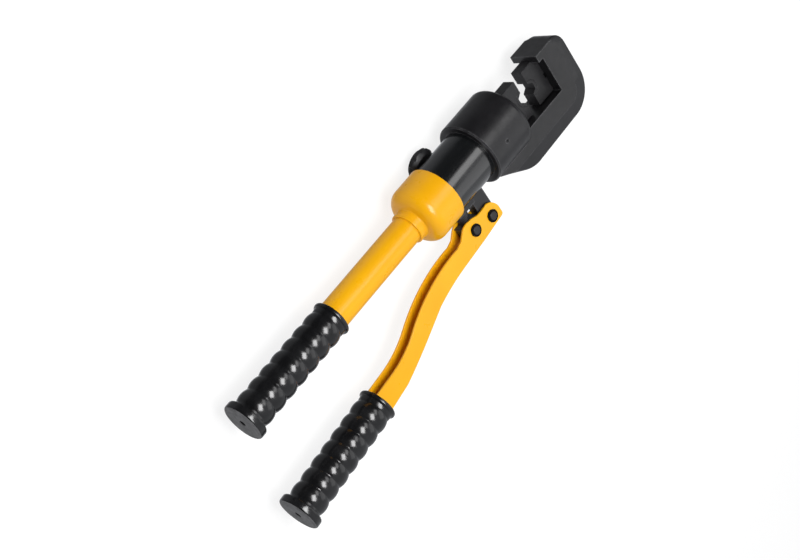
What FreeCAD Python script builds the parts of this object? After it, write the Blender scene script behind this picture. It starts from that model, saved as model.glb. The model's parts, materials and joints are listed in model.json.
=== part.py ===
import FreeCAD, Part
import math
import os

import Sketcher

# Hydraulic hand crimping tool: a tubular handle that is also the oil reservoir, a pump lever,
# a cylinder with its ram, and a C-shaped head that swivels on the cylinder and holds two dies.
# X runs along the tool's axis towards the head, the pump lever lies on the -Y side, and Z is up
# with the tool lying on its side. The origin is on the axis, where the tube enters the pump
# housing. Every size is in millimetres and every angle in degrees.

sizes = {
    # handle tube
    "tubeRadius": 14.0, "tubeWall": 1.6, "tubeRear": -216.0, "tubeFront": 8.0,
    # grips: an end flange, a row of lobes and a rim
    "gripRear": -224.3, "gripFlangeRadius": 19.4, "gripFlangeLength": 10.0, "gripLobeRadius": 16.7,
    "gripValleyRadius": 15.1, "gripLobePitch": 14.4, "gripRimRadius": 17.6, "gripRimLength": 8.6,
    "gripHoleRadius": 2.9, "gripEndWall": 4.0,
    # bell-shaped pump housing
    "neckRadius": 16.0, "neckLength": 8.0, "bellRadius": 28.6, "bellFront": 45.1, "bellWall": 2.1,
    "shoulderRounding": 11.0, "shoulderFront": 20.0,
    # cylinder and ram
    "barrelRadius": 26.2, "barrelRear": 21.0, "barrelFront": 134.0, "spigotRadius": 10.0,
    "boreRadius": 20.0, "boreBottom": 74.0, "ramRadius": 19.95, "ramRear": 75.0, "ramFront": 145.6,
    # swivelling head
    "collarRadius": 32.6, "collarRear": 94.4, "collarFront": 147.6, "collarRounding": 7.0,
    "webRear": 136.0, "headHalf": 16.6, "bevelWidth": 14.0, "bevelDrop": 4.2, "throatWall": 205.5,
    "throatFloor": -19.6, "headFront": 239.0, "headTop": 24.2, "headBottom": -52.2,
    "lipLength": 6.0, "lipDepth": 7.0, "swivelClearance": 0.1,
    # dies
    "dieHalf": 6.7, "dieReach": 18.7, "movingDieFace": 171.8, "dieGap": 11.8, "hexCorner": 5.9,
    "ringRadius": 8.4, "dieHolderFace": 150.2, "holderTongue": 5.0, "tongueReach": 8.0,
    # pump and lever
    "plungerX": 52.4, "plungerPinY": -50.0, "fulcrumX": 75.1, "fulcrumY": -53.8, "pinRadius": 4.0,
    "clipRadius": 5.9, "plungerRadius": 5.0, "glandRadius": 6.95, "lugThickness": 10.0,
    "glandBossWidth": 17.0, "glandBossBottom": -30.0, "leverWidth": 15.5, "leverSheet": 2.2, "leverTilt": 3.6,
    "leverGripX": -238.4, "leverGripY": -97.8, "eyeRadius": 10.5, "eyeWidth": 10.2,
    # pressure release
    "knobRadius": 15.4, "knobThickness": 9.0, "knobX": 65.7, "knobAngle": 65.0, "stemRadius": 4.0,
}

running = 0.05  # radial clearance of shafts that turn or slide in their holes


class Length:
    # A number together with the spreadsheet formula that gives it.
    def __init__(self, value, formula):
        self.value = float(value)
        self.formula = formula

    def joined(self, sign, other, value):
        return Length(value, f"({self.formula} {sign} {other.formula})")

    def __add__(self, other):
        other = asLength(other)
        return self.joined("+", other, self.value + other.value)

    def __sub__(self, other):
        other = asLength(other)
        return self.joined("-", other, self.value - other.value)

    def __mul__(self, other):
        other = asLength(other)
        return self.joined("*", other, self.value * other.value)

    def __truediv__(self, other):
        other = asLength(other)
        return self.joined("/", other, self.value / other.value)

    def __radd__(self, other):
        return asLength(other) + self

    def __rsub__(self, other):
        return asLength(other) - self

    def __rmul__(self, other):
        return asLength(other) * self

    def __neg__(self):
        return Length(-self.value, f"(-1 * {self.formula})")


def asLength(number):
    return number if isinstance(number, Length) else Length(number, f"{number:.6g}")


def size(name):
    return Length(sizes[name], f"Dims.{name}")


# document helpers

doc = FreeCAD.newDocument("crimping_tool")
parts = []


def makeSheet():
    sheet = doc.addObject("Spreadsheet::Sheet", "Dims")
    for row, (name, value) in enumerate(sizes.items(), start=1):
        sheet.set(f"A{row}", name)
        sheet.set(f"B{row}", f"{value}")
        sheet.setAlias(f"B{row}", name)
    doc.recompute()


def bind(thing, path, length):
    thing.setExpression(path, asLength(length).formula)


def newBody(label):
    body = doc.addObject("PartDesign::Body", label)
    body.Label = label
    parts.append(body)
    return body


def newSketch(body, name, role="XY_Plane", height=0):
    sketch = body.newObject("Sketcher::SketchObject", f"{body.Name}_{name}")
    plane = [one for one in body.Origin.OriginFeatures if one.Role == role][0]
    sketch.AttachmentSupport = (plane, [""])
    sketch.MapMode = "FlatFace"
    bind(sketch, "AttachmentOffset.Base.z", height)
    return sketch


def place(thing, base=(0, 0, 0), rotation=None):
    if rotation is not None:
        thing.Placement = FreeCAD.Placement(FreeCAD.Vector(0, 0, 0), rotation)
    for letter, length in zip("xyz", base):
        bind(thing, f"Placement.Base.{letter}", length)


def turnX(direction):
    # The rotation that lays a piece made along X in another direction.
    return FreeCAD.Rotation(FreeCAD.Vector(1, 0, 0), FreeCAD.Vector(*direction))


def arcSide(start, end, heading, radius):
    # An arc from start to end: tangent to heading, or of the given signed radius. A positive
    # radius turns to the left.
    chord = end - start
    if radius is None:
        left = FreeCAD.Vector(-heading.y, heading.x, 0)
        radius = chord.dot(chord) / (2 * chord.dot(left))
        centre = start + left * radius
    else:
        across = FreeCAD.Vector(-chord.y, chord.x, 0).normalize()
        reach = math.sqrt(max(0, radius * radius - chord.dot(chord) / 4))
        centre = start + chord * 0.5 + across * math.copysign(reach, radius)
    circle = Part.Circle(centre, FreeCAD.Vector(0, 0, 1), abs(radius))
    leftTurn = radius > 0
    first, last = (start, end) if leftTurn else (end, start)
    angles = [math.atan2(point.y - centre.y, point.x - centre.x) for point in (first, last)]
    if angles[1] <= angles[0]:
        angles[1] += 2 * math.pi
    spoke = end - centre
    out = FreeCAD.Vector(-spoke.y, spoke.x, 0) if leftTurn else FreeCAD.Vector(spoke.y, -spoke.x, 0)
    return Part.ArcOfCircle(circle, angles[0], angles[1]), leftTurn, out.normalize()


def drawOutline(sketch, corners):
    # A closed outline. A corner (x, y) is reached by a straight side, (x, y, "smooth") by an arc
    # that leaves the side before it without a kink, and (x, y, radius) by an arc of that radius.
    count = len(corners)
    points = [FreeCAD.Vector(asLength(one[0]).value, asLength(one[1]).value, 0) for one in corners]
    sides = []
    heading = None
    for number in range(count):
        start, end = points[number], points[(number + 1) % count]
        kind = corners[(number + 1) % count][2] if len(corners[(number + 1) % count]) > 2 else None
        if kind is None:
            index = sketch.addGeometry(Part.LineSegment(start, end), False)
            heading = (end - start).normalize()
            sides.append((index, 1, 2, None))
        else:
            radius = None if kind == "smooth" else asLength(kind).value
            arc, leftTurn, heading = arcSide(start, end, heading, radius)
            index = sketch.addGeometry(arc, False)
            ends = (1, 2) if leftTurn else (2, 1)
            sides.append((index, ends[0], ends[1], kind))
    for number in range(count):
        index, first, last, kind = sides[number]
        following = sides[(number + 1) % count]
        touch = "Tangent" if following[3] == "smooth" else "Coincident"
        sketch.addConstraint(Sketcher.Constraint(touch, index, last, following[0], following[1]))
        for axis, length in zip(("DistanceX", "DistanceY"), corners[number][:2]):
            length = asLength(length)
            rule = Sketcher.Constraint(axis, -1, 1, index, first, length.value)
            bind(sketch, f"Constraints[{sketch.addConstraint(rule)}]", length)
        if kind not in (None, "smooth"):
            rule = Sketcher.Constraint("Radius", index, abs(asLength(kind).value))
            sketch.addConstraint(rule)


def drawCircle(sketch, x, y, radius):
    middle = FreeCAD.Vector(asLength(x).value, asLength(y).value, 0)
    circle = Part.Circle(middle, FreeCAD.Vector(0, 0, 1), asLength(radius).value)
    index = sketch.addGeometry(circle, False)
    rules = (("Radius", (index,), radius), ("DistanceX", (-1, 1, index, 3), x),
             ("DistanceY", (-1, 1, index, 3), y))
    for kind, which, length in rules:
        rule = Sketcher.Constraint(kind, *which, asLength(length).value)
        bind(sketch, f"Constraints[{sketch.addConstraint(rule)}]", length)


# feature helpers

def turn(body, name, profile, cut=False):
    # Turned about the body's own X axis: the profile's corners are (place along X, radius).
    sketch = newSketch(body, f"{name}_profile")
    drawOutline(sketch, profile)
    kind = "PartDesign::Groove" if cut else "PartDesign::Revolution"
    feature = body.newObject(kind, f"{body.Name}_{name}")
    feature.Profile = sketch
    feature.ReferenceAxis = (sketch, ["H_Axis"])
    feature.Angle = 360
    return feature


def pad(body, name, draw, thickness, cut=False, role="XY_Plane", height=0):
    # An outline made solid, or cut out, to the same depth on both sides of its plane.
    sketch = newSketch(body, f"{name}_outline", role, height)
    draw(sketch)
    kind = "PartDesign::Pocket" if cut else "PartDesign::Pad"
    feature = body.newObject(kind, f"{body.Name}_{name}")
    feature.Profile = sketch
    feature.SideType = "Symmetric"
    bind(feature, "Length", thickness)
    return feature


def outline(corners):
    return lambda sketch: drawOutline(sketch, corners)


def disc(x, y, radius):
    return lambda sketch: drawCircle(sketch, x, y, radius)


def ringAt(x, radius, width):
    # Two circles about a point on the sketch's X axis.
    def draw(sketch):
        drawCircle(sketch, x, 0, radius - width / 2)
        drawCircle(sketch, x, 0, radius + width / 2)
    return draw


def drill(body, name, radius, depth, base, direction):
    # A round hole that starts at base and runs along direction.
    hole = body.newObject("PartDesign::SubtractiveCylinder", f"{body.Name}_{name}")
    spin = FreeCAD.Rotation(FreeCAD.Vector(0, 0, 1), FreeCAD.Vector(*direction))
    hole.Placement = FreeCAD.Placement(FreeCAD.Vector(0, 0, 0), spin)
    bind(hole, "Radius", radius)
    bind(hole, "Height", depth)
    for letter, length in zip("xyz", base):
        bind(hole, f"Placement.Base.{letter}", length)
    return hole


def turned(label, profile, base=None, direction=None):
    body = newBody(label)
    turn(body, "turn", profile)
    if base is not None:
        place(body, base, turnX(direction or (1, 0, 0)))
    return body


def rod(label, rear, front, radius, base=None, direction=None):
    profile = [(rear, 0), (front, 0), (front, radius), (rear, radius)]
    return turned(label, profile, base, direction)


def ring(label, rear, front, inner, outer, base=None, direction=None):
    profile = [(rear, inner), (front, inner), (front, outer), (rear, outer)]
    return turned(label, profile, base, direction)


def ball(label, radius, base):
    body = newBody(label)
    sphere = body.newObject("PartDesign::AdditiveSphere", f"{label}_sphere")
    bind(sphere, "Radius", radius)
    place(body, base)
    return body


def spring(label, wire, coil, length, turns, base, direction=(1, 0, 0)):
    # A coil spring from base to base + length, measured over the wire.
    body = newBody(label)
    sketch = newSketch(body, "wire")
    drawCircle(sketch, wire, coil, wire)
    helix = body.newObject("PartDesign::AdditiveHelix", f"{label}_coil")
    helix.Profile = sketch
    helix.ReferenceAxis = (sketch, ["H_Axis"])
    helix.Mode = "height-turns-angle"
    bind(helix, "Height", asLength(length) - 2 * asLength(wire))
    bind(helix, "Turns", turns)
    place(body, base, turnX(direction))
    return body


def hexagon(body, name, reach, depth, base):
    # A hexagon socket cut along X into the face at base.
    corners = [(reach * math.cos(math.radians(step)), reach * math.sin(math.radians(step)))
               for step in range(0, 360, 60)]
    return pad(body, name, outline(corners), depth, cut=True, role="YZ_Plane", height=base)


# handle tube and grips

tubeRadius = size("tubeRadius")
tubeInside = tubeRadius - size("tubeWall")
lobes = 7  # on each grip


def makeTube():
    # The ends are turned down a little under the grip and in the housing's neck.
    rear, front, seat = size("tubeRear"), size("tubeFront"), tubeRadius - 0.1
    gripFront = size("gripRear") + gripLength()
    turned("reservoir_tube", [
        (rear, tubeInside), (front, tubeInside), (front, seat), (0, seat), (0, tubeRadius),
        (gripFront, tubeRadius), (gripFront, seat), (rear, seat)])


def gripLength():
    return size("gripFlangeLength") + size("gripLobePitch") * lobes + size("gripRimLength")


def gripProfile():
    # Along the grip's own axis from its closed end, which is at 0.
    flange, valley = size("gripFlangeLength"), size("gripValleyRadius")
    pitch, bulge = size("gripLobePitch"), size("gripLobeRadius") - size("gripValleyRadius")
    lobeRadius = (pitch.value ** 2 / 4 + bulge.value ** 2) / (2 * bulge.value)
    rimRear = flange + pitch * lobes
    rimFront = gripLength()
    bore = tubeRadius + running
    profile = [(0, size("gripHoleRadius")), (size("gripEndWall"), size("gripHoleRadius")),
               (size("gripEndWall"), bore), (rimFront, bore),
               (rimFront, size("gripRimRadius") - 1), (rimFront - 1, size("gripRimRadius"), 1),
               (rimRear, size("gripRimRadius")), (rimRear, valley)]
    for number in range(lobes - 1, -1, -1):
        profile.append((flange + pitch * number, valley, lobeRadius))
    edge = 2
    profile += [(flange, size("gripFlangeRadius") - edge),
                (flange - edge, size("gripFlangeRadius"), edge), (edge, size("gripFlangeRadius")),
                (0, size("gripFlangeRadius") - edge, edge)]
    return profile


def makeFixedGrip():
    turned("fixed_grip", gripProfile(), (size("gripRear"), 0, 0))
    plugRear = size("tubeRear") - 1
    plug = turned("tube_end_plug", [
        (plugRear, 0), (plugRear + 12, 0), (plugRear + 12, tubeInside - running),
        (plugRear + 1, tubeInside - running), (plugRear + 1, tubeRadius - 1), (plugRear, tubeRadius - 1)])
    drill(plug, "thread", 2.5, 13, (plugRear - 0.5, 0, 0), (1, 0, 0))
    screw = turned("filler_screw", [
        (plugRear - 2.3, 0), (plugRear + 10, 0), (plugRear + 10, 2.45), (plugRear, 2.45),
        (plugRear, 4.5), (plugRear - 2.3, 4.5)])
    hexagon(screw, "socket", 1.6, 3, plugRear - 2.3)


def makeBladder():
    outer = tubeInside - 0.6
    wall = 1.5
    rear = size("tubeRear") + 16
    mouth = 3
    turned("oil_bladder", [
        (rear, 0), (rear + wall, 0), (rear + wall + 6, outer - wall, "smooth"), (-16, outer - wall),
        (-10, size("spigotRadius") + 0.05), (mouth, size("spigotRadius") + 0.05),
        (mouth, size("spigotRadius") + 1.2), (-9, size("spigotRadius") + 1.2), (-14, outer),
        (rear + 6, outer), (rear, 4, outer - 2)])
    ring("bladder_ring", -6, 0, size("spigotRadius") + 1.25, size("spigotRadius") + 2.3)
    strainer = ring("oil_strainer", -24, -6, 4, 5)
    for side in range(3):
        angle = math.radians(120 * side)
        direction = (0, math.cos(angle), math.sin(angle))
        drill(strainer, f"mesh{side}", 1.5, 6, (-18, 0, 0), direction)


# pump housing and cylinder

def makeBell():
    radius, wall, front = size("bellRadius"), size("bellWall"), size("bellFront")
    neck, rounding, shoulder = size("neckRadius"), size("shoulderRounding"), size("shoulderFront")
    lean = math.radians(10)
    arcX = shoulder - rounding * math.cos(lean)
    arcR = radius - rounding + rounding * math.sin(lean)
    inside = radius - wall
    turned("bell_housing", [
        (0, tubeRadius + running), (10, tubeRadius + running), (13, tubeRadius + 3),
        (shoulder, inside, -(rounding + 3)), (front, inside), (front, radius - 0.8),
        (front - 0.8, radius, 0.8), (shoulder, radius), (arcX, arcR, rounding),
        (size("neckLength") + 0.6, neck + 1.2), (size("neckLength") - 0.8, neck, -1.6),
        (1, neck), (0, neck - 1, 1)])


def makeBarrel():
    # The rear half is the valve block, the front half the cylinder that the head turns on.
    rear, front, radius = size("barrelRear"), size("barrelFront"), size("barrelRadius")
    spigot, bore, bottom = size("spigotRadius"), size("boreRadius"), size("boreBottom")
    barrel = newBody("cylinder_barrel")
    turn(barrel, "block", [
        (-12, 0), (front, 0), (front, radius - 1), (front - 1, radius), (119.4, radius),
        (119.4, 23.4), (112.4, 23.4), (112.4, radius), (rear + 2, radius), (rear, radius - 2),
        (rear, 17), (9.2, spigot + 1.9), (8.6, spigot), (-11, spigot), (-12, spigot - 1)])
    drill(barrel, "bore", bore, front - bottom + 1, (bottom, 0, 0), (1, 0, 0))
    drill(barrel, "oil_way", 5.05, 26, (-13, 0, 0), (1, 0, 0))
    drill(barrel, "suction", 3.5, 29, (12.5, -5, 0), (1, 0, 0))
    drill(barrel, "suction_port", 1.5, 12, (41, -5, 0), (1, 0, 0))
    pump = size("plungerX")
    drill(barrel, "pump_bore", size("plungerRadius") + running, radius, (pump, -1, 0), (0, -1, 0))
    drill(barrel, "gland_thread", size("glandRadius") + running, 11, (pump, -16, 0), (0, -1, 0))
    drill(barrel, "delivery", 3.5, 12.5, (bottom - 12, -9, 0), (1, 0, 0))
    drill(barrel, "delivery_port", 1.2, 9, (bottom - 20, -9, 0), (1, 0, 0))
    drill(barrel, "relief", 3.5, 32, (rear - 1, 13, 0), (1, 0, 0))
    drill(barrel, "relief_port", 1.2, 25, (rear + 30, 13, 0), (1, 0, 0))
    drill(barrel, "spring_rod", 4, 9, (bottom - 8, 0, 0), (1, 0, 0))
    drill(barrel, "release", size("stemRadius") + running, 30, releasePoint(14), releaseWay())
    drill(barrel, "release_thread", 7, 10, releasePoint(20.4), releaseWay())
    drill(barrel, "release_port", 1.5, 10, releasePoint(5), releaseWay())


def makeValves():
    bottom = size("boreBottom")
    ball("suction_ball", 2.4, (37.9, -5, 0))
    spring("suction_spring", 0.45, 2.1, 10, 5, (25.2, -5, 0))
    ring("suction_plug", 17.5, 25, 1.2, 3.45, (0, -5, 0))
    ball("delivery_ball", 2.4, (bottom - 9, -9, 0))
    spring("delivery_spring", 0.45, 2.1, 2.9, 2, (bottom - 6.3, -9, 0))
    ring("delivery_plug", bottom - 3.2, bottom - 0.2, 1.2, 3.45, (0, -9, 0))
    seat = size("barrelRear") + 30.8
    turned("relief_needle", [
        (seat - 7, 0), (seat, 0), (seat - 2, 2), (seat - 6, 2), (seat - 6, 3.3), (seat - 7, 3.3)],
        (0, 13, 0))
    spring("relief_spring", 0.6, 2.4, 12, 5, (seat - 19.3, 13, 0))
    screw = rod("relief_screw", seat - 27.5, seat - 19.5, 3.45, (0, 13, 0))
    hexagon(screw, "socket", 1.6, 6, seat - 27.5)


def makeFulcrumLug():
    # Its upper end follows the barrel, and its round lower end holds the pin.
    x, y, radius, eye = size("fulcrumX"), size("fulcrumY"), size("barrelRadius"), 8.5
    pump, rear, front, bottom = size("plungerX"), size("bellFront") + 0.4, x - eye + 1, size("glandBossBottom")
    inside = -radius + 9
    lug = newBody("fulcrum_lug")
    pad(lug, "web", outline([
        (x - eye, inside), (x - eye, y), (x + eye, y, "smooth"), (x + eye, inside)]), size("lugThickness"))
    # A boss beside it closes round the gland of the pump.
    pad(lug, "boss", outline([
        (rear, inside), (rear, bottom), (front, bottom), (front, inside)]), size("glandBossWidth"))
    drill(lug, "gland_hole", size("glandRadius") + running, 20, (pump, -radius + 3, 0), (0, -1, 0))
    pad(lug, "eye", disc(x, y, size("pinRadius") + 0.02), size("lugThickness") + 2, cut=True)
    drill(lug, "saddle", radius, 60, (x - 40, 0, 0), (1, 0, 0))


def makePin(label, clips, x, y):
    half = size("leverWidth") / 2
    pin = size("pinRadius")
    groove, clip, stub, edge = half + 0.2, 1.0, 1.9, 0.4
    neck = pin - 0.7
    turned(label, [
        (-groove - stub, 0), (groove + stub, 0), (groove + stub, pin - edge), (groove + stub - edge, pin),
        (groove + clip, pin), (groove + clip, neck), (groove, neck), (groove, pin), (-groove, pin),
        (-groove, neck), (-groove - clip, neck), (-groove - clip, pin), (-groove - stub + edge, pin),
        (-groove - stub, pin - edge)], (x, y, 0), (0, 0, 1))
    pair = newBody(f"{clips}_upper")
    parts.remove(pair)
    inside, outside = neck + 0.05, size("clipRadius")
    turn(pair, "ring", [(groove + 0.05, inside), (groove + clip - 0.05, inside),
                        (groove + clip - 0.05, outside), (groove + 0.05, outside)])
    place(pair, (x, y, 0), turnX((0, 0, 1)))
    both = doc.addObject("Part::Mirroring", f"{clips}_lower")
    both.Label = f"{clips}_lower"
    both.Source = pair
    both.Normal = (0, 0, 1)
    joined = doc.addObject("Part::Compound", f"{clips}_both")
    joined.Label = clips
    joined.Links = [pair, both]
    parts.append(joined)


# pump plunger

def makePlunger():
    # Made along its own X, which points down out of the barrel: plunger, then the slotted eye.
    radius, eye = size("plungerRadius"), size("eyeRadius")
    reach = -size("plungerPinY")
    plunger = newBody("pump_plunger")
    turn(plunger, "rod", [
        (2.8, 0), (reach - 6, 0), (reach - 6, radius), (3.8, radius), (2.8, radius - 1)])
    pad(plunger, "eye", outline([
        (reach - eye + 1, -eye), (reach, -eye), (reach, eye, "smooth"), (reach - eye + 1, eye)]),
        size("eyeWidth"))
    hole, play = size("pinRadius") + 0.2, 1.4
    pad(plunger, "slot", outline([
        (reach + hole, -play, "smooth"), (reach + hole, play), (reach - hole, play, "smooth"),
        (reach - hole, -play)]), 14, cut=True)
    place(plunger, (size("plungerX"), 0, 0), turnX((0, -1, 0)))


def makeGland():
    base, down = (size("plungerX"), 0, 0), (0, -1, 0)
    bore, outside = size("plungerRadius") + running, size("glandRadius")
    turned("pump_gland", [
        (20.2, bore), (35.6, bore), (35.6, 6), (34.8, 6.6), (33.4, 6.6), (33.2, outside), (20.2, outside)],
        base, down)
    lip, back = bore - 0.03, outside - 0.05
    turned("plunger_seal", [
        (16.2, lip), (20, lip), (20, back), (16.2, back), (16.2, 6.3), (18, 6), (16.2, 5.7)], base, down)


# pump lever

def leverTangent(along):
    # A point on the lever grip's axis, measured from its closed end.
    tilt = math.radians(sizes["leverTilt"])
    return size("leverGripX") + along * math.cos(tilt), size("leverGripY") + along * math.sin(tilt)


def leverTop():
    # The upper edge of the two side plates, from the grip to the end of the ears.
    startX, startY = leverTangent(116)
    return [(startX, startY + 11.2), (-97, -77.9), (-57, -67, "smooth"), (27, -48.2, "smooth"),
            (33.5, -46.3), (40.5, -40.6), (49.5, -38.4, -12), (56, -39.3), (62.5, -41.6),
            (69, -41.9), (76, -41.1), (83.4, -45.6, -11), (86.6, -52.2, -14), (86.6, -58.8),
            (84.0, -61.7, -2.8)]


def leverBottom(lift=0.0):
    # The lower edge, from the end of the ears back to the grip.
    endX, endY = leverTangent(116)
    return [(56, -64.3 + lift), (22, -66.4 + lift), (-20, -73 + lift, "smooth"), (-47, -83.2 + lift),
            (-90, -97.4 + lift, "smooth"), (endX, endY - 11.2 + lift)]


def makeLeverChannel():
    width, sheet = size("leverWidth"), size("leverSheet")
    lever = newBody("lever_channel")
    pad(lever, "plates", outline(leverTop() + leverBottom()), width)
    inside, floor = width - 2 * sheet, leverBottom(sheet.value)[1:]
    pad(lever, "hollow", outline([(-140, -40), (100, -10), (100, -61.5), (56, -62.1)] + floor
                                 + [(-140, floor[-1][1])]), inside, cut=True)
    pad(lever, "web_opening", outline([
        (38, -80), (100, -80), (100, -30), (38, -30)]), inside, cut=True)
    for name, x, y, hole in (("plunger", size("plungerX"), size("plungerPinY"), 0.02),
                             ("fulcrum", size("fulcrumX"), size("fulcrumY"), running)):
        pad(lever, f"{name}_hole", disc(x, y, size("pinRadius") + hole), 40, cut=True)


def makeLeverHandle():
    tilt = math.radians(sizes["leverTilt"])
    slope = turnX((math.cos(tilt), math.sin(tilt), 0))
    base = (size("leverGripX"), size("leverGripY"), 0)
    grip = turned("lever_grip", gripProfile())
    place(grip, base, slope)
    tube = ring("lever_tube", 8.3, 114.8, tubeInside, tubeRadius)
    place(tube, base, slope)
    plug = turned("lever_end_plug", [
        (7.3, 0), (19.3, 0), (19.3, tubeInside - running), (8.3, tubeInside - running),
        (8.3, tubeRadius - 1), (7.3, tubeRadius - 1)])
    place(plug, base, slope)


# swivelling head

def headOutline(inset):
    # The C seen along Z. inset 0 is the full outline, and 1 the flat face inside the bevel.
    front, top, bottom = size("headFront"), size("headTop"), size("headBottom")
    wall, floor = size("throatWall"), size("throatFloor")
    bevel = size("bevelWidth") * inset
    bevelFront = bevel + 3 * inset
    lip, lipBottom = wall - size("lipLength"), top - size("lipDepth")
    corner, crown = 30 - 17 * inset, 14.5 - 11.9 * inset
    rampX, rampY = 100, -30 + 0.5 * inset
    heelX, heelY, heelRounding = 137.6 - 21.6 * inset, bottom - 1 + 15 * inset, 36 - 24 * inset
    slope = math.atan2(23.2, 37.6) if inset == 0 else math.atan2(8.7, 16)
    run = heelRounding * math.tan(slope / 2)
    return [(lip, top), (front - 14.5 - 1.5 * inset, top), (front - bevelFront, top - crown, -crown),
            (front - bevelFront, bottom + bevel + corner),
            (front - bevelFront - corner, bottom + bevel, -corner),
            (heelX + run, heelY),
            (heelX - run * math.cos(slope), heelY + run * math.sin(slope), -heelRounding),
            (rampX, rampY), (rampX, floor), (wall, floor), (wall, lipBottom), (lip, lipBottom)]


def makeHead():
    half, drop = size("headHalf"), size("bevelDrop")
    head = newBody("head_frame")
    pad(head, "slab", outline(headOutline(0)), 2 * (half - drop))
    for side in (1, -1):
        name = "upper" if side > 0 else "lower"
        low = newSketch(head, f"{name}_rim", height=side * (half - drop))
        drawOutline(low, headOutline(0))
        high = newSketch(head, f"{name}_face", height=side * half)
        drawOutline(high, headOutline(1))
        bevel = head.newObject("PartDesign::AdditiveLoft", f"head_{name}_bevel")
        bevel.Profile = low
        bevel.Sections = [high]
        bevel.Ruled = True
    rear, front, radius = size("collarRear"), size("collarFront"), size("collarRadius")
    rounding = size("collarRounding")
    turn(head, "collar", [
        (rear, 0), (front, 0), (front, radius - rounding), (front - rounding, radius, rounding),
        (rear + 1.2, radius), (rear, radius - 1.2)])
    socket = size("barrelRadius") + size("swivelClearance")
    drill(head, "socket", socket, size("webRear") - rear + 1, (rear - 1, 0, 0), (1, 0, 0))
    drill(head, "ram_hole", size("boreRadius"), 30, (size("webRear") - 4, 0, 0), (1, 0, 0))
    screwX, screwRadius = 114.4, 1.75
    drill(head, "set_screw_hole", screwRadius + running, 12, (screwX, 0, radius + 1), (0, 0, -1))
    drill(head, "detent_hole", 2.5, 10, (size("throatWall") - 1, -2, 0), (1, 0, 0))
    screw = turned("head_set_screw", [
        (0, 0), (1, 1), (1, screwRadius), (7.6, screwRadius), (7.6, 0)], (screwX, 0, 24.6), (0, 0, 1))
    hexagon(screw, "socket", 0.9, 5, 7.6)


def detent(label, base, direction):
    # A sleeve with a ball that stands a little out of it.
    turned(label, [
        (0, 0), (6.5, 0), (7.3, 1.2, 1.3), (7, 1.7), (6, 2.45), (0, 2.45)], base, direction)


def makeFixedDie():
    # The back of the die is stepped, so that the lip of the jaw hooks over it.
    face, wall = size("movingDieFace") + size("dieGap"), size("throatWall")
    reach, lip = size("dieReach"), wall - size("lipLength")
    hooked = size("headTop") - size("lipDepth") - 0.2
    die = newBody("fixed_die")
    pad(die, "block", outline([
        (face, -reach), (wall - 0.1, -reach), (wall - 0.1, hooked), (lip - 0.2, hooked),
        (lip - 0.2, reach), (face, reach)]), 2 * size("dieHalf"))
    cutCavity(die, face, 1)
    keyway(die, wall - 1.5, -2)
    detent("fixed_die_detent", (wall + 6.2, -2, 0), (-1, 0, 0))


def keyway(die, start, middle):
    # A groove that the ball of the detent runs in while the die slides out.
    half = 2.3
    pad(die, "keyway", outline([
        (start, middle - half), (start + 1.5, middle - half), (start + 1.5, middle + half),
        (start, middle + half)]), 40, cut=True)


def cutCavity(die, face, side):
    # Half a hexagon across the parting face.
    reach, half = size("hexCorner"), size("dieHalf")
    flat = reach * math.sin(math.radians(60))
    pad(die, "hexagon", outline([
        (face, -reach), (face + side * flat, -reach / 2), (face + side * flat, reach / 2),
        (face, reach), (face - side * 3, reach), (face - side * 3, -reach)]), 40, cut=True)
    # A fine ring is cut into both sides around the hexagon.
    for name, way in (("upper", 1), ("lower", -1)):
        pad(die, f"{name}_ring", ringAt(face, size("ringRadius"), 0.7), 0.8, cut=True, height=way * half)


def makeMovingDie():
    # Slides over the tongue of the die holder.
    face, back, reach = size("movingDieFace"), size("dieHolderFace"), size("dieReach")
    tongue, deep = size("tongueReach") + 0.1, size("holderTongue") + 0.1
    die = newBody("moving_die")
    pad(die, "block", outline([
        (face, -reach), (face, reach), (back + 0.1, reach), (back + 0.1, tongue), (back + deep, tongue),
        (back + deep, -tongue), (back + 0.1, -tongue), (back + 0.1, -reach)]), 2 * size("dieHalf"))
    cutCavity(die, face, -1)
    keyway(die, back + deep - 0.1, 0)


# ram

def makeRam():
    rear, front, radius = size("ramRear"), size("ramFront"), size("ramRadius")
    hollow, way, spigot = 12, 4.2, 14
    turned("ram", [
        (rear, way), (rear + 14, way), (rear + 14, hollow), (front - 5, hollow), (front - 5, spigot),
        (front, spigot), (front, radius), (rear + 12, radius), (rear + 12, 16.5), (rear + 5, 16.5),
        (rear + 5, radius), (rear + 1, radius), (rear, radius - 1)])
    ring("ram_seal", rear + 5.1, rear + 9.8, 16.55, size("boreRadius") - 0.02)
    ring("ram_backup_ring", rear + 9.9, rear + 11.9, 16.55, size("boreRadius") - 0.02)
    face = size("dieHolderFace")
    holder = newBody("die_holder")
    turn(holder, "plug", [
        (front - 4.9, 0), (face, 0), (face, radius - 1.8), (face - 1.2, radius - 0.6),
        (front + 0.05, radius - 0.6), (front + 0.05, spigot - running), (front - 4.9, spigot - running)])
    reach, deep = size("tongueReach"), size("holderTongue")
    pad(holder, "tongue", outline([
        (face - 1, -reach), (face + deep, -reach), (face + deep, reach), (face - 1, reach)]),
        2 * size("dieHalf"))
    drill(holder, "detent_hole", 2.5, 12, (face + deep - 7.4, 0, 0), (1, 0, 0))
    detent("moving_die_detent", (face + deep - 7.2, 0, 0), (1, 0, 0))


def makeReturnSpring():
    # A compression spring between the ram's rear wall and the head of the fixed rod.
    bottom, head = size("boreBottom"), size("ramRear") + 61
    turned("spring_rod", [
        (bottom - 7, 0), (head + 4, 0), (head + 4, 9), (head, 9), (head, 3.95), (bottom - 7, 3.95)])
    wall = size("ramRear") + 14.2
    spring("return_spring", 1.1, 8, head - wall - 0.2, 7, (wall, 0, 0))


# pressure release

def releaseWay():
    angle = math.radians(sizes["knobAngle"])
    return 0, math.cos(angle), -math.sin(angle)


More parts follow.
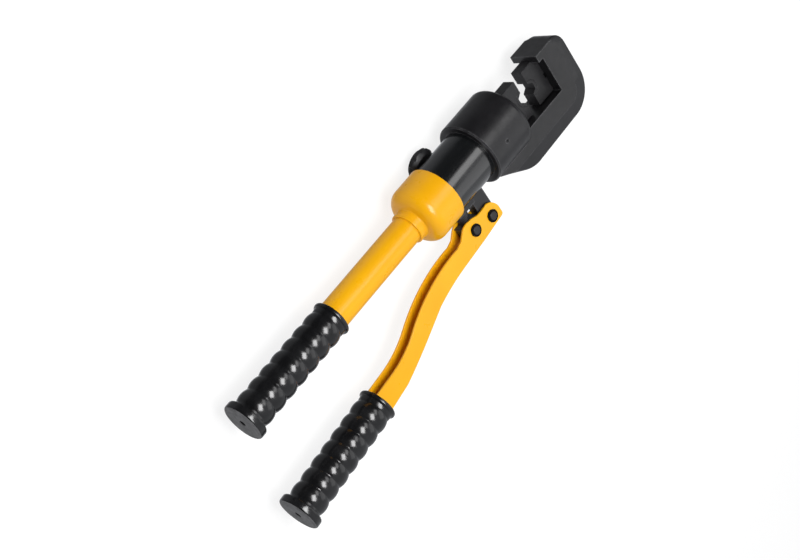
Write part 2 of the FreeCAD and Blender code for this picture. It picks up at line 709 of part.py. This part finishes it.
def releasePoint(out):
    way = releaseWay()
    return size("knobX"), out * way[1], out * way[2]


def makeRelease():
    base, way = (size("knobX"), 0, 0), releaseWay()
    stem = size("stemRadius")
    turned("release_stem", [
        (15, 0), (37, 0), (37, stem - 0.4), (36.6, stem), (18, stem), (15, 0.8)], base, way)
    ring("release_gland", 20.5, 26.9, stem + running, 6.95, base, way)
    radius, thick = size("knobRadius"), size("knobThickness")
    back = 28.0
    knob = turned("release_knob", [
        (back, stem + 0.02), (back + thick, stem + 0.02), (back + thick, radius - 2.5),
        (back + thick - 2.5, radius, -2.5), (back + 3.2, radius), (back, radius - 3.4)], base, way)
    scoop = size("knobRadius") + 1.6
    for number in range(10):
        angle = math.radians(36 * number)
        start = (back - 1, scoop * math.cos(angle), scoop * math.sin(angle))
        drill(knob, f"scoop{number}", 2.6, thick + 2, start, (1, 0, 0))
    screw = rod("knob_screw", back + thick + 0.05, back + thick + 2.2, 4.6, base, way)
    hexagon(screw, "socket", 2, 2.4, back + thick + 2.2)


# make, check and write

def writeParts():
    doc.recompute()
    faults = [one.Name for one in doc.Objects if {"Invalid", "Error"} & set(one.State)]
    if faults:
        raise RuntimeError(f"failed objects: {faults}")
    os.makedirs("parts", exist_ok=True)
    for part in parts:
        shape = part.Shape
        if shape.isNull() or not shape.isValid():
            raise RuntimeError(f"{part.Label} has no valid shape")
        shape.exportStep(f"parts/{part.Label}.step")
        print(f"{part.Label}: {len(shape.Solids)} solid, {shape.Volume / 1000:.2f} cm3")


makeSheet()
makeTube()
makeFixedGrip()
makeBladder()
makeBell()
makeBarrel()
makeValves()
makeFulcrumLug()
makePin("fulcrum_pin", "fulcrum_circlips", size("fulcrumX"), size("fulcrumY"))
makePin("plunger_pin", "plunger_circlips", size("plungerX"), size("plungerPinY"))
makePlunger()
makeGland()
makeLeverChannel()
makeLeverHandle()
makeHead()
makeFixedDie()
makeMovingDie()
makeRam()
makeReturnSpring()
makeRelease()
writeParts()
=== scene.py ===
import json
import math

import bmesh
import bpy
from mathutils import Matrix, Vector

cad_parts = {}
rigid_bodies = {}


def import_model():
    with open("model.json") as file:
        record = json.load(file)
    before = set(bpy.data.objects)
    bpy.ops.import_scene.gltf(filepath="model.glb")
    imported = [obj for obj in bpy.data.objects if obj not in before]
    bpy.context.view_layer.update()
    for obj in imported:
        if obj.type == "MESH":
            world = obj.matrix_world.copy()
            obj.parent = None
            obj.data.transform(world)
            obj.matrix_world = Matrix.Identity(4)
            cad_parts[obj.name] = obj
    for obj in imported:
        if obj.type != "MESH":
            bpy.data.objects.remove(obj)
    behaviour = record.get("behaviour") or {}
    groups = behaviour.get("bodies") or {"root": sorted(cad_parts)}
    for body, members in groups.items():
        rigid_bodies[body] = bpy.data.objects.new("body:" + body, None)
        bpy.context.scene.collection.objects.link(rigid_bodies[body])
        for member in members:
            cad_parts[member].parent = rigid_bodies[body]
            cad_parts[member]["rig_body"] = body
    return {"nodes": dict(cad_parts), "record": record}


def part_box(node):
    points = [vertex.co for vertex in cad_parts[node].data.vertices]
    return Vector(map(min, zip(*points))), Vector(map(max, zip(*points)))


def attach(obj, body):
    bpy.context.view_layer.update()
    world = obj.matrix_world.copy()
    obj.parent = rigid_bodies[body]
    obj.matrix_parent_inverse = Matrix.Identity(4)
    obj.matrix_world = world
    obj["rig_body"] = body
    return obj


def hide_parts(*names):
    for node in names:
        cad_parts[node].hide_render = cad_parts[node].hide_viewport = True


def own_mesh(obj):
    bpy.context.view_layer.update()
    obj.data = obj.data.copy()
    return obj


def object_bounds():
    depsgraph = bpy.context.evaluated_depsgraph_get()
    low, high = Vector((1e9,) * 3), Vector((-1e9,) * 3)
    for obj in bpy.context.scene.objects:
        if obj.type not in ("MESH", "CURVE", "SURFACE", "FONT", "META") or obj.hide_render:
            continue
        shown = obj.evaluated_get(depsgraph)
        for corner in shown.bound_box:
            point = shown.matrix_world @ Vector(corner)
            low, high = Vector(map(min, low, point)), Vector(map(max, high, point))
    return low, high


# Hydraulic hand crimper lying on its side: X runs along the tool towards the jaw, the pump
# lever lies on the -Y side, Z is up. Everything is in metres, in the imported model's own frame.

mm = 0.001
weld = 0.002 * mm    # points closer than this are one point
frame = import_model()
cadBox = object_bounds()
nodes = frame["nodes"]
bodyOf = {node: nodes[node]["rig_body"] for node in nodes}
slotOf = {part["node"]: part["material_slot"] for part in frame["record"]["subparts"]}
print("frame loaded:", len(nodes), "nodes")


def newMaterial(name):
    material = bpy.data.materials.new(name)
    material.use_nodes = True
    tree = material.node_tree
    return material, tree, tree.nodes["Principled BSDF"]


def objectPoint(tree, scale=(1, 1, 1)):
    where = tree.nodes.new("ShaderNodeTexCoord")
    mapping = tree.nodes.new("ShaderNodeMapping")
    mapping.inputs["Scale"].default_value = scale
    tree.links.new(where.outputs["Object"], mapping.inputs["Vector"])
    return mapping.outputs["Vector"]


def noise(tree, scale, detail=4, rough=0.5, stretch=(1, 1, 1)):
    node = tree.nodes.new("ShaderNodeTexNoise")
    node.inputs["Scale"].default_value = scale
    node.inputs["Detail"].default_value = detail
    node.inputs["Roughness"].default_value = rough
    tree.links.new(objectPoint(tree, stretch), node.inputs["Vector"])
    return node.outputs["Fac"]


def mapRange(tree, value, low, high, toLow, toHigh, smooth=False):
    node = tree.nodes.new("ShaderNodeMapRange")
    node.interpolation_type = "SMOOTHSTEP" if smooth else "LINEAR"
    for key, number in (("From Min", low), ("From Max", high), ("To Min", toLow), ("To Max", toHigh)):
        node.inputs[key].default_value = number
    tree.links.new(value, node.inputs["Value"])
    return node.outputs["Result"]


def math2(tree, kind, first, second):
    node = tree.nodes.new("ShaderNodeMath")
    node.operation = kind
    for socket, value in zip(node.inputs, (first, second)):
        if isinstance(value, (int, float)):
            socket.default_value = value
        else:
            tree.links.new(value, socket)
    return node.outputs["Value"]


def mixColour(tree, amount, first, second):
    node = tree.nodes.new("ShaderNodeMix")
    node.data_type = "RGBA"
    tree.links.new(amount, node.inputs["Factor"])
    for socket, value in ((node.inputs["A"], first), (node.inputs["B"], second)):
        if isinstance(value, tuple):
            socket.default_value = (*value, 1)
        else:
            tree.links.new(value, socket)
    return node.outputs["Result"]


def edgeWear(tree, radius, low, high):
    # 1 along outer and inner edges and 0 on flat ground, from how far the rounded normal
    # leaves the true one.
    bevel = tree.nodes.new("ShaderNodeBevel")
    bevel.samples = 4
    bevel.inputs["Radius"].default_value = radius
    geometry = tree.nodes.new("ShaderNodeNewGeometry")
    dot = tree.nodes.new("ShaderNodeVectorMath")
    dot.operation = "DOT_PRODUCT"
    tree.links.new(bevel.outputs["Normal"], dot.inputs[0])
    tree.links.new(geometry.outputs["Normal"], dot.inputs[1])
    turned = math2(tree, "SUBTRACT", 1.0, dot.outputs["Value"])
    return mapRange(tree, turned, low, high, 0, 1, smooth=True)


def addBump(tree, shader, *layers):
    # Each layer is a height, its strength and its distance in metres.
    normal = None
    for height, strength, distance in layers:
        bump = tree.nodes.new("ShaderNodeBump")
        bump.inputs["Strength"].default_value = strength
        bump.inputs["Distance"].default_value = distance
        tree.links.new(height, bump.inputs["Height"])
        if normal:
            tree.links.new(normal, bump.inputs["Normal"])
        normal = bump.outputs["Normal"]
    tree.links.new(normal, shader.inputs["Normal"])


enamel = {
    "amber": (0.74, 0.345, 0.002),
    "light": (0.77, 0.378, 0.004),
    "worn": (0.70, 0.42, 0.05),
    "roughness": (0.26, 0.36),
    "coat": 0.10,
    "coatRoughness": 0.12,
    "specular": 0.32,
}


def makeYellowEnamel():
    material, tree, shader = newMaterial("yellowEnamel")
    cloud = mapRange(tree, noise(tree, 14, 3), 0.35, 0.65, 0, 1)
    colour = mixColour(tree, cloud, enamel["amber"], enamel["light"])
    wear = math2(tree, "MULTIPLY", edgeWear(tree, 0.7 * mm, 0.05, 0.3),
                 mapRange(tree, noise(tree, 260, 4), 0.45, 0.7, 0, 0.5))
    colour = mixColour(tree, wear, colour, enamel["worn"])
    tree.links.new(colour, shader.inputs["Base Color"])
    dull = mapRange(tree, noise(tree, 90, 5), 0.3, 0.7, *enamel["roughness"])
    tree.links.new(dull, shader.inputs["Roughness"])
    shader.inputs["Coat Weight"].default_value = enamel["coat"]
    shader.inputs["Coat Roughness"].default_value = enamel["coatRoughness"]
    shader.inputs["Specular IOR Level"].default_value = enamel["specular"]
    addBump(tree, shader, (noise(tree, 420, 2), 0.12, 0.05 * mm), (noise(tree, 60, 2), 0.10, 0.2 * mm))
    return material


blackPaint = {
    "base": (0.004, 0.0045, 0.005), "dust": (0.016, 0.017, 0.019), "worn": (0.09, 0.09, 0.095),
    "roughness": (0.18, 0.26), "coat": 0.5, "coatRoughness": 0.1, "specular": 0.6,
}


def makeBlackEnamel():
    material, tree, shader = newMaterial("blackEnamel")
    dust = mapRange(tree, noise(tree, 35, 6, 0.6, (0.4, 1, 1)), 0.45, 0.8, 0, 0.6)
    wear = edgeWear(tree, 0.5 * mm, 0.04, 0.25)
    colour = mixColour(tree, dust, blackPaint["base"], blackPaint["dust"])
    colour = mixColour(tree, math2(tree, "MULTIPLY", wear, 0.5), colour, blackPaint["worn"])
    tree.links.new(colour, shader.inputs["Base Color"])
    scratches = noise(tree, 700, 3, 0.5, (0.05, 1, 1))
    dull = mapRange(tree, scratches, 0.3, 0.7, *blackPaint["roughness"])
    tree.links.new(dull, shader.inputs["Roughness"])
    shader.inputs["Specular IOR Level"].default_value = blackPaint["specular"]
    shader.inputs["Coat Weight"].default_value = blackPaint["coat"]
    shader.inputs["Coat Roughness"].default_value = blackPaint["coatRoughness"]
    addBump(tree, shader, (scratches, 0.05, 0.02 * mm))
    return material


phosphate = {
    "dark": (0.005, 0.0048, 0.0055), "light": (0.011, 0.0105, 0.012), "worn": (0.09, 0.09, 0.095),
    "roughness": (0.28, 0.40), "grain": 1900, "specular": 0.45,
}


def makePhosphate(name, tone, roughness, edge, low=0.03, high=0.22):
    # Blackened steel: cloudy, finely grained, and lighter along its edges: rubbed wear, which with low
    # edge thresholds also paints highlight lines along shallow chamfers.
    material, tree, shader = newMaterial(name)
    cloud = mapRange(tree, noise(tree, 26, 5, 0.6), 0.35, 0.68, 0, 1)
    dark = tuple(tone * value for value in phosphate["dark"])
    light = tuple(tone * value for value in phosphate["light"])
    colour = mixColour(tree, cloud, dark, light)
    # Lighter edges: rubbed wear, and where the thresholds are low also a painted highlight along the
    # edges.
    edgeWearAndHighlight = math2(tree, "MULTIPLY", edgeWear(tree, edge, low, high),
                   mapRange(tree, noise(tree, 130, 5, 0.65), 0.35, 0.65, 0.15, 0.85))
    colour = mixColour(tree, edgeWearAndHighlight, colour, phosphate["worn"])
    tree.links.new(colour, shader.inputs["Base Color"])
    shader.inputs["Specular IOR Level"].default_value = phosphate["specular"]
    dull = mapRange(tree, noise(tree, 180, 4), 0.3, 0.7, *roughness)
    tree.links.new(dull, shader.inputs["Roughness"])
    grain = noise(tree, phosphate["grain"], 2, 0.6)
    addBump(tree, shader, (grain, 0.20, 0.04 * mm), (noise(tree, 240, 4), 0.15, 0.06 * mm))
    return material


def makeBrightSteel(name, tone, roughness):
    # Turned or ground steel with fine tool marks.
    material, tree, shader = newMaterial(name)
    marks = noise(tree, 900, 3, 0.6, (1, 0.2, 0.2))
    colour = mixColour(tree, marks, tuple(0.8 * t for t in tone), tone)
    tree.links.new(colour, shader.inputs["Base Color"])
    shader.inputs["Metallic"].default_value = 1.0
    tree.links.new(mapRange(tree, marks, 0.3, 0.7, *roughness), shader.inputs["Roughness"])
    addBump(tree, shader, (marks, 0.1, 0.02 * mm))
    return material


vinyl = {
    "base": (0.004, 0.004, 0.0045), "bloom": (0.013, 0.013, 0.014), "roughness": (0.16, 0.24),
    "specular": 0.6,
}


def makeVinyl():
    material, tree, shader = newMaterial("blackVinyl")
    bloom = mapRange(tree, noise(tree, 70, 5, 0.6), 0.4, 0.75, 0, 0.7)
    tree.links.new(mixColour(tree, bloom, vinyl["base"], vinyl["bloom"]), shader.inputs["Base Color"])
    dull = mapRange(tree, noise(tree, 210, 4), 0.3, 0.7, *vinyl["roughness"])
    tree.links.new(dull, shader.inputs["Roughness"])
    shader.inputs["Specular IOR Level"].default_value = vinyl["specular"]
    addBump(tree, shader, (noise(tree, 330, 3), 0.10, 0.08 * mm))
    return material


def makeMatte(name, base, spread, roughness, gloss=0.5):
    # Moulded plastic or rubber: cloudy colour and a fine moulded grain.
    material, tree, shader = newMaterial(name)
    cloud = mapRange(tree, noise(tree, 120, 5, 0.6), 0.35, 0.7, 0, 1)
    tree.links.new(mixColour(tree, cloud, base, spread), shader.inputs["Base Color"])
    shader.inputs["Specular IOR Level"].default_value = gloss
    tree.links.new(mapRange(tree, noise(tree, 400, 3), 0.3, 0.7, *roughness), shader.inputs["Roughness"])
    addBump(tree, shader, (noise(tree, 900, 2), 0.2, 0.05 * mm))
    return material


yellowEnamel = makeYellowEnamel()
blackEnamel = makeBlackEnamel()
# On the head casting the low edge thresholds make painted highlight lines along its shallow chamfer
# edges, partly wear and partly painted highlight.
phosphateSteel = makePhosphate("phosphateSteel", 1.0, phosphate["roughness"], 1.8 * mm, 0.003, 0.03)
dieSteel = makePhosphate("dieSteel", 1.15, (0.42, 0.58), 0.5 * mm)
pinSteel = makePhosphate("pinSteel", 1.1, (0.30, 0.42), 0.3 * mm)
brightSteel = makeBrightSteel("brightSteel", (0.60, 0.61, 0.63), (0.18, 0.34))
clipSteel = makeMatte("clipSteel", (0.003, 0.003, 0.003), (0.006, 0.006, 0.006), (0.5, 0.6), gloss=0.06)
brass = makeBrightSteel("brass", (0.75, 0.55, 0.24), (0.25, 0.4))
blackVinyl = makeVinyl()
# The grips' closed end faces get a lighter grey: painted light standing in for the bright surroundings
# falling on them.
paintedLightVinylEnd = makeMatte("paintedLightVinylEnd", (0.085, 0.085, 0.088), (0.15, 0.15, 0.155), (0.55, 0.75))
knobPlastic = makeMatte("knobPlastic", (0.010, 0.010, 0.011), (0.020, 0.020, 0.022), (0.38, 0.55))
sealRubber = makeMatte("sealRubber", (0.012, 0.012, 0.012), (0.025, 0.025, 0.025), (0.6, 0.8))
print("finishes made")

finishOf = {
    "yellow_enamel": yellowEnamel, "black_enamel": blackEnamel, "phosphated_steel": phosphateSteel,
    "die_steel": dieSteel, "bright_steel": brightSteel, "black_vinyl": blackVinyl,
    "black_plastic": knobPlastic, "seal_rubber": sealRubber, "brass": brass,
}
for node, part in nodes.items():
    part.data.materials.clear()
    part.data.materials.append(finishOf[slotOf[node]])


def finishPiece(mesh, name, node, material):
    # Puts a bmesh into the scene as a piece that stands for one node.
    bmesh.ops.recalc_face_normals(mesh, faces=mesh.faces)
    data = bpy.data.meshes.new(name)
    mesh.to_mesh(data)
    mesh.free()
    data.materials.append(material)
    piece = bpy.data.objects.new(name, data)
    bpy.context.scene.collection.objects.link(piece)
    data.polygons.foreach_set("use_smooth", [True] * len(data.polygons))
    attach(piece, bodyOf[node])
    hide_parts(node)
    return piece


softening = {"segments": 3, "wideSegments": 4, "flatAngle": math.radians(0.4)}


def softEdges(node, name, width, material, angle=30, wideEdge=None, wide=0):
    # The node's own shape with its sharp edges rounded off.
    mesh = bmesh.new()
    mesh.from_mesh(nodes[node].data)
    bmesh.ops.remove_doubles(mesh, verts=mesh.verts, dist=weld)
    bmesh.ops.dissolve_degenerate(mesh, edges=mesh.edges, dist=weld)
    bmesh.ops.dissolve_limit(mesh, angle_limit=softening["flatAngle"], verts=mesh.verts,
                             edges=mesh.edges, use_dissolve_boundaries=False, delimit={"NORMAL"})
    if wideEdge:
        chosen = [edge for edge in mesh.edges if wideEdge(edge)]
        bmesh.ops.bevel(mesh, geom=chosen, offset=wide, segments=softening["wideSegments"],
                        profile=0.5, affect="EDGES", clamp_overlap=True, material=-1)
    piece = finishPiece(mesh, name, node, material)
    bevel = piece.modifiers.new("roundedEdges", "BEVEL")
    bevel.width = width
    bevel.segments = softening["segments"]
    bevel.limit_method = "ANGLE"
    bevel.angle_limit = math.radians(angle)
    bevel.use_clamp_overlap = True
    bevel.miter_outer = "MITER_ARC"
    normals = piece.modifiers.new("flatFaces", "WEIGHTED_NORMAL")
    normals.keep_sharp = True
    return piece


grip = {
    "flange": 10.0, "flangeRadius": 19.4, "endRounding": 1.9, "shoulderRounding": 2.2,
    "lobes": 7, "pitch": 14.4, "lobeRadius": 16.7, "valleyRadius": 14.9,
    "rim": 8.6, "rimRadius": 17.6, "rimRounding": 1.8,
    "hole": 2.9, "bore": 14.05, "floor": 7.2, "chamfer": 0.5,
    "around": 96, "stepsPerLobe": 12, "stepsPerRounding": 6, "crease": math.radians(24),
}


def arcPoints(centre, radius, start, end, steps):
    # Points of an arc in the plane of the profile, angles in degrees.
    angles = [math.radians(start + (end - start) * step / steps) for step in range(steps + 1)]
    return [(centre[0] + radius * math.cos(a), centre[1] + radius * math.sin(a)) for a in angles]


def gripProfile():
    # (distance along the axis from the closed end, radius), once round the section.
    flange, radius, bore = grip["flange"], grip["flangeRadius"], grip["bore"]
    valley, lobe, pitch = grip["valleyRadius"], grip["lobeRadius"], grip["pitch"]
    small, shoulder, rim = grip["endRounding"], grip["shoulderRounding"], grip["rimRounding"]
    chamfer, steps = grip["chamfer"], grip["stepsPerRounding"]
    points = [(grip["floor"], grip["hole"]), (chamfer, grip["hole"]), (0, grip["hole"] + 0.6)]
    points += [(0, radius - 3.6), (0.25, radius - 3.1)]
    points += arcPoints((small, radius - small), small, 190, 90, steps)
    points += arcPoints((flange - 4.2, radius - shoulder), shoulder, 90, 15, steps)
    points += [(flange - 1.3, valley + 0.5)]
    half, rise = pitch / 2, lobe - valley
    swell = (half * half + rise * rise) / (2 * rise)
    spread = math.degrees(math.asin((half - 0.35) / swell))
    for number in range(grip["lobes"]):
        middle = flange + pitch * (number + 0.5)
        points += arcPoints((middle, lobe - swell), swell, 90 + spread, 90 - spread, grip["stepsPerLobe"])
    start = flange + pitch * grip["lobes"]
    top, end = grip["rimRadius"], start + grip["rim"]
    points += [(start + 0.6, valley + 0.7), (end - 4.7, valley + 1.0)]
    points += arcPoints((end - 2.4, top - rim), rim, 165, 90, steps)
    points += arcPoints((end - rim, top - rim), rim, 90, 5, steps)
    points += [(end, bore + chamfer), (end - chamfer, bore), (grip["floor"], bore)]
    return [(x * mm, r * mm) for x, r in points]


def makeGrip(name, node, place):
    mesh = bmesh.new()
    profile = [mesh.verts.new((x, r, 0)) for x, r in gripProfile()]
    edges = [mesh.edges.new(pair) for pair in zip(profile, profile[1:] + profile[:1])]
    bmesh.ops.spin(mesh, geom=profile + edges, cent=(0, 0, 0), axis=(1, 0, 0), angle=2 * math.pi,
                   steps=grip["around"], use_merge=True)
    bmesh.ops.remove_doubles(mesh, verts=mesh.verts, dist=weld)
    # The closed end face takes the second, lighter finish: painted light on that face.
    for face in mesh.faces:
        if face.calc_center_median().x < 0.35 * mm:
            face.material_index = 1
    for edge in mesh.edges:
        edge.smooth = edge.calc_face_angle(0) < grip["crease"]
    bmesh.ops.transform(mesh, matrix=place, verts=mesh.verts)
    piece = finishPiece(mesh, name, node, blackVinyl)
    piece.data.materials.append(paintedLightVinylEnd)
    return piece


leverGrip = {"tilt": math.radians(3.6), "end": Vector((-238.4, -97.8, 0)) * mm}
leverPlace = Matrix.Translation(leverGrip["end"]) @ Matrix.Rotation(leverGrip["tilt"], 4, "Z")
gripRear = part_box("fixed_grip")[0].x
makeGrip("fixedGripSleeve", "fixed_grip", Matrix.Translation((gripRear, 0, 0)))
makeGrip("leverGripSleeve", "lever_grip", leverPlace)
print("grips made")


def isJawTop(edge):
    # Picks the jaw's long top edges, and also the collar's edges that stand as far out.
    return all(vert.co.y > jaw["topEdge"] and abs(vert.co.z) > jaw["sideEdge"] for vert in edge.verts)


jaw = {
    "topEdge": 23.9 * mm, "sideEdge": 16.4 * mm, "topRounding": 1.8 * mm, "rounding": 0.9 * mm,
    "sharpAngle": 14,
}
softEdges("head_frame", "jawCasting", jaw["rounding"], phosphateSteel, jaw["sharpAngle"],
          isJawTop, jaw["topRounding"])

roundedNodes = {
    "fixed_die": ("fixedDieBlock", 0.35, dieSteel),
    "moving_die": ("movingDieBlock", 0.35, dieSteel),
    "lever_channel": ("leverPressing", 0.6, yellowEnamel),
    "fulcrum_lug": ("fulcrumLugBlock", 0.5, phosphateSteel),
    "pump_plunger": ("plungerRod", 0.4, pinSteel),
    "release_knob": ("releaseKnobCap", 0.5, knobPlastic),
    "fulcrum_pin": ("fulcrumPinBody", 0.2, pinSteel),
    "plunger_pin": ("plungerPinBody", 0.2, pinSteel),
}
for node, (name, width, material) in roundedNodes.items():
    softEdges(node, name, width * mm, material)
for node in ("fulcrum_circlips", "plunger_circlips"):
    nodes[node].data.materials[0] = clipSteel
for node in ("head_set_screw", "pump_gland"):
    nodes[node].data.materials[0] = pinSteel
print("edges rounded")


def makeReturnSpring():
    # Held at its front by the fixed rod; the ram presses the real spring together, but nothing here makes
    # the piece shorten.
    mesh = bmesh.new()
    mesh.from_mesh(nodes["return_spring"].data)
    bmesh.ops.remove_doubles(mesh, verts=mesh.verts, dist=weld)
    piece = finishPiece(mesh, "ramReturnSpring", "return_spring", brightSteel)
    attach(piece, bodyOf["spring_rod"])
    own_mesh(piece)


makeReturnSpring()


studio = {
    "floorReach": 6.0, "floorTone": (0.20, 0.20, 0.20), "floorGlow": 0.82, "floorDrop": 0.2 * mm,
    "domeRadius": 9.0, "domeTone": (0.93, 0.96), "sky": 0.04,
    "walls": {
        # name: towards, glow, where it fades out and in
        "leverSide": ((0.05, -1.0, 0.0), 0.50, (-0.10, 0.12)),
        "knobSide": ((0.10, 0.45, -0.89), 0.25, (0.50, 0.88)),
    },
    "lamps": {
        # name: place, aimed at, width, height, watts, turn in degrees
        "overheadBox": ((-0.21, 0.24, 1.08), (-0.17, 0, 0), 0.45, 0.70, 14.0, -53),
        "leverPanel": ((0.85, -0.50, 0.85), (0.12, 0, 0), 1.00, 0.80, 1.9, 0),
        "jawBox": ((0.60, 0.27, 1.05), (0.06, 0, 0), 0.40, 0.70, 2.7, 0),
    },
}


def makeFloor():
    mesh = bmesh.new()
    bmesh.ops.create_grid(mesh, x_segments=1, y_segments=1, size=studio["floorReach"])
    data = bpy.data.meshes.new("studioFloor")
    mesh.to_mesh(data)
    mesh.free()
    floor = bpy.data.objects.new("studioFloor", data)
    floor.location.z = cadBox[0][2] - studio["floorDrop"]
    bpy.context.scene.collection.objects.link(floor)
    material, tree, shader = newMaterial("studioFloor")
    tint = mapRange(tree, noise(tree, 3, 2), 0.3, 0.7, 0, 1)
    pale = tuple(1.03 * value for value in studio["floorTone"])
    tree.links.new(mixColour(tree, tint, studio["floorTone"], pale), shader.inputs["Base Color"])
    shader.inputs["Roughness"].default_value = 0.9
    shader.inputs["Specular IOR Level"].default_value = 0.0
    shader.inputs["Emission Color"].default_value = (1, 1, 1, 1)
    shader.inputs["Emission Strength"].default_value = studio["floorGlow"]
    data.materials.append(material)
    floor.visible_glossy = False    # the sky's own glow stands in for it in the reflections


def makeBackdrop():
    # A pale dome round the floor that only the camera sees: the sky lights the tool through it.
    mesh = bmesh.new()
    bmesh.ops.create_uvsphere(mesh, u_segments=48, v_segments=24, radius=studio["domeRadius"])
    bmesh.ops.reverse_faces(mesh, faces=mesh.faces)
    data = bpy.data.meshes.new("studioDome")
    mesh.to_mesh(data)
    mesh.free()
    dome = bpy.data.objects.new("studioDome", data)
    bpy.context.scene.collection.objects.link(dome)
    material, tree, shader = newMaterial("studioDome")
    tint = mapRange(tree, noise(tree, 0.4, 2), 0.3, 0.7, *studio["domeTone"])
    shader.inputs["Base Color"].default_value = (0, 0, 0, 1)
    shader.inputs["Specular IOR Level"].default_value = 0.0
    tree.links.new(tint, shader.inputs["Emission Color"])
    shader.inputs["Emission Strength"].default_value = 1.0
    data.materials.append(material)
    dome.visible_diffuse = False
    dome.visible_glossy = False
    dome.visible_transmission = False
    dome.visible_shadow = False


def addLamp(name, place, target, width, height, watts, turn):
    light = bpy.data.lights.new(name, "AREA")
    light.shape = "RECTANGLE"
    light.size = width
    light.size_y = height
    light.energy = watts
    lamp = bpy.data.objects.new(name, light)
    lamp.location = place
    aim = (Vector(target) - Vector(place)).to_track_quat("-Z", "Y").to_matrix().to_4x4()
    lamp.rotation_euler = (aim @ Matrix.Rotation(math.radians(turn), 4, "Z")).to_euler()
    lamp.visible_camera = False
    bpy.context.scene.collection.objects.link(lamp)


def makeSky():
    # A dark room with a large pale wall on the lever's side and a dimmer, low one opposite.
    world = bpy.data.worlds.new("studioSky")
    world.use_nodes = True
    tree = world.node_tree
    sky = tree.nodes["Background"]
    where = tree.nodes.new("ShaderNodeTexCoord")
    strength = studio["sky"]
    for towards, glow, edge in studio["walls"].values():
        facing = tree.nodes.new("ShaderNodeVectorMath")
        facing.operation = "DOT_PRODUCT"
        facing.inputs[1].default_value = Vector(towards).normalized()
        tree.links.new(where.outputs["Generated"], facing.inputs[0])
        wall = mapRange(tree, facing.outputs["Value"], *edge, 0, glow, smooth=True)
        strength = math2(tree, "ADD", strength, wall)
    tree.links.new(strength, sky.inputs["Strength"])
    sky.inputs["Color"].default_value = (0.94, 0.96, 1.0, 1)
    bpy.context.scene.world = world


def makeStudio():
    makeFloor()
    makeBackdrop()
    makeSky()
    for name, lamp in studio["lamps"].items():
        addLamp(name, *lamp)
    bpy.context.scene.view_settings.view_transform = "Standard"


camera = {
    "place": (-0.5809, 0.6368, 1.0393), "target": (-0.0336, -0.0275, 0.0), "roll": 97.42,
    "lens": 71.08, "sensor": 36.0, "clipEnd": 30,
}


def makeCamera():
    data = bpy.data.cameras.new("studioCamera")
    data.lens = camera["lens"]
    data.sensor_width = camera["sensor"]
    data.clip_end = camera["clipEnd"]
    eye = bpy.data.objects.new("studioCamera", data)
    sight = Vector(camera["target"]) - Vector(camera["place"])
    look = sight.to_track_quat("-Z", "Y").to_matrix().to_4x4()
    roll = Matrix.Rotation(math.radians(camera["roll"]), 4, "Z")
    eye.matrix_world = Matrix.Translation(camera["place"]) @ look @ roll
    bpy.context.scene.collection.objects.link(eye)
    bpy.context.scene.camera = eye


makeStudio()
makeCamera()
print("studio set")
